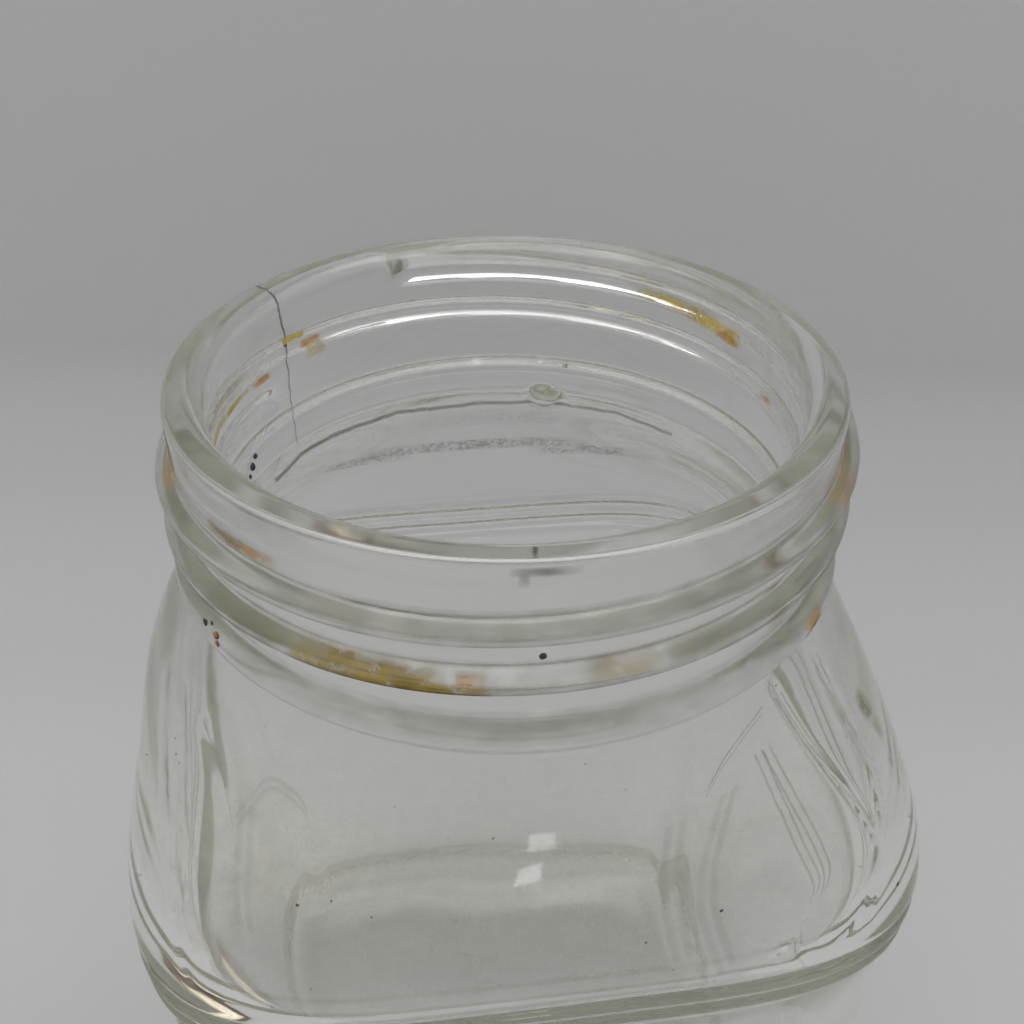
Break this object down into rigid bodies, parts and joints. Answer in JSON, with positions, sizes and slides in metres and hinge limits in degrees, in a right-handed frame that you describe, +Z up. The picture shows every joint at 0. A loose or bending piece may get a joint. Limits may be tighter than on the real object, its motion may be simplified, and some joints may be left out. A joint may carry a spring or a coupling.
{
  "type": "mason jar",
  "caption": "Square-bodied clear glass preserving jar with a round threaded neck, its two-piece steel lid and screw band lying beside it.",
  "frame": {"origin": "on the table, at the bottom centre of the box around the jar and its closure", "axes": "+Z up out of the jar's mouth; +X from the closure on the table towards the jar; +Y towards the back of the picture"},
  "size_m": [0.1685, 0.1077, 0.145],
  "materials": {
    "clear_glass": "clear moulded glass, polished, with a faint grey-green tint",
    "plated_lid": "lacquered tinplate, satin",
    "sealing_compound": "moulded sealing compound, dull",
    "tinned_band": "tin-plated steel, satin, rolled"
  },
  "bodies": {
    "jar": {"glass_jar": "clear_glass"},
    "band": {"screw_band": "tinned_band"},
    "lid": {"lid_disc": "plated_lid", "sealing_ring": "sealing_compound"}
  },
  "joints": [
    {"name": "band_turn", "type": "hinge", "parent": "jar", "child": "band", "pos_m": [-0.047, -0.0166, 0], "axis": [0, 0, 1], "continuous": true},
    {"name": "lid_lift", "type": "slide", "parent": "band", "child": "lid", "axis": [0, 0, 1], "range_m": [0, 0.12]}
  ]
}
